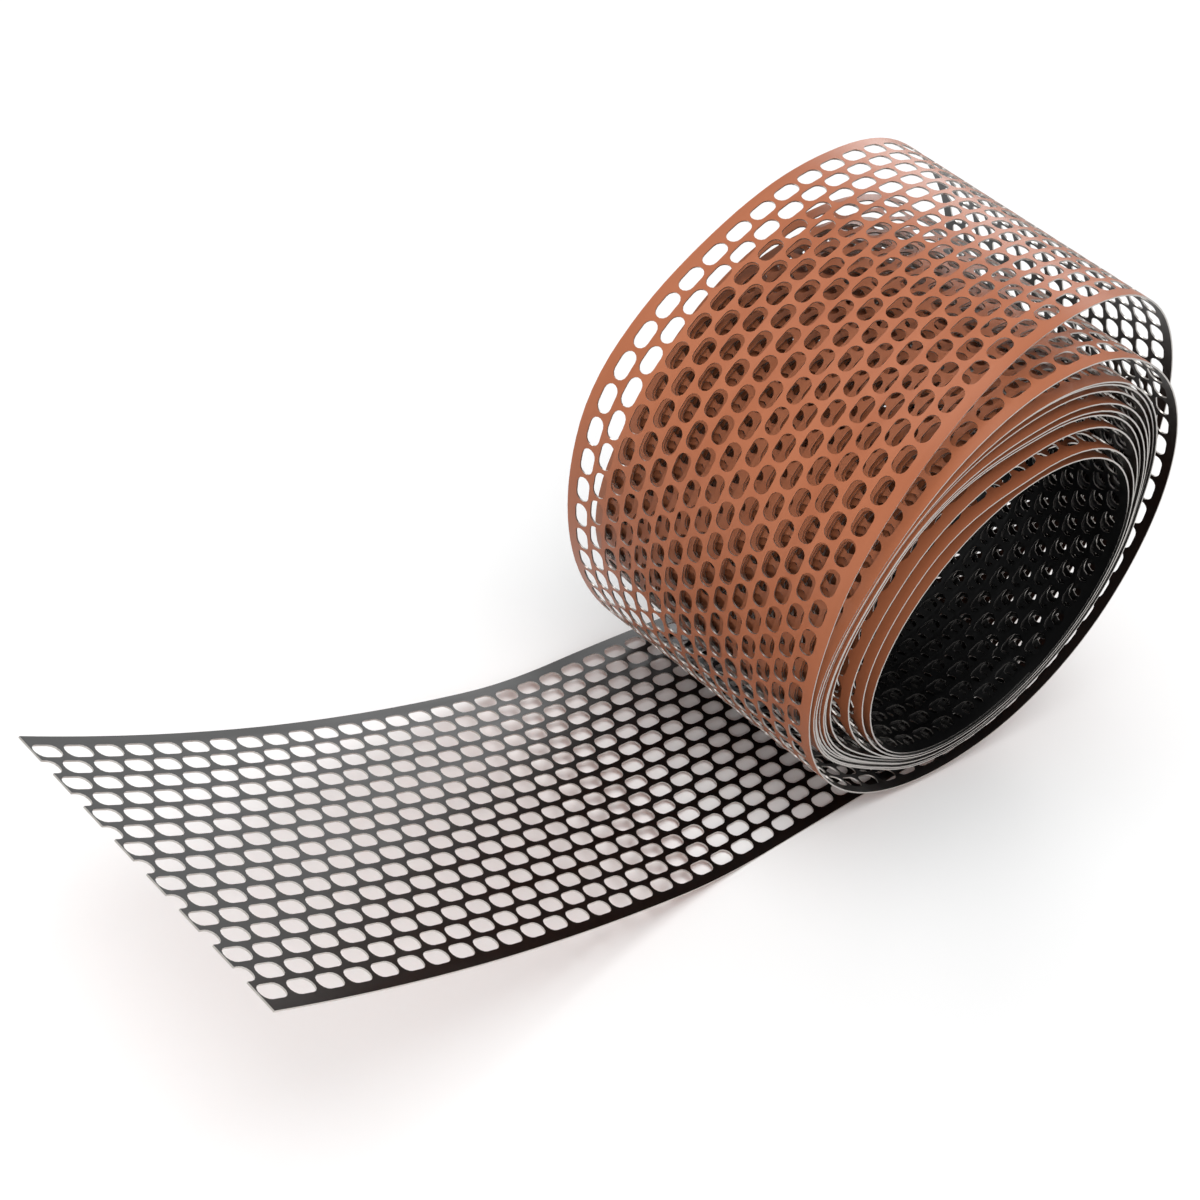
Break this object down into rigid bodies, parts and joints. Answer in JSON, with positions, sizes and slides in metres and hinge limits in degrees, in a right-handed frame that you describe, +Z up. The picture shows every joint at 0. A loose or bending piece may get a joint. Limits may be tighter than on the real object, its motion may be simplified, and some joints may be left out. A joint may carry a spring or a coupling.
{
  "type": "eaves bird guard",
  "caption": "Roll of perforated painted metal strip with its free end sprung open, for closing gaps at eaves.",
  "frame": {"origin": "centre of the roll's bore, halfway along it", "axes": "+Y along the roll's axis, away from the viewer; the free end lies towards -X; +Z up"},
  "size_m": [0.3855, 0.1363, 0.185],
  "materials": {
    "painted_sheet": "satin"
  },
  "bodies": {
    "root": {"perforated_strip": "painted_sheet"}
  },
  "joints": []
}
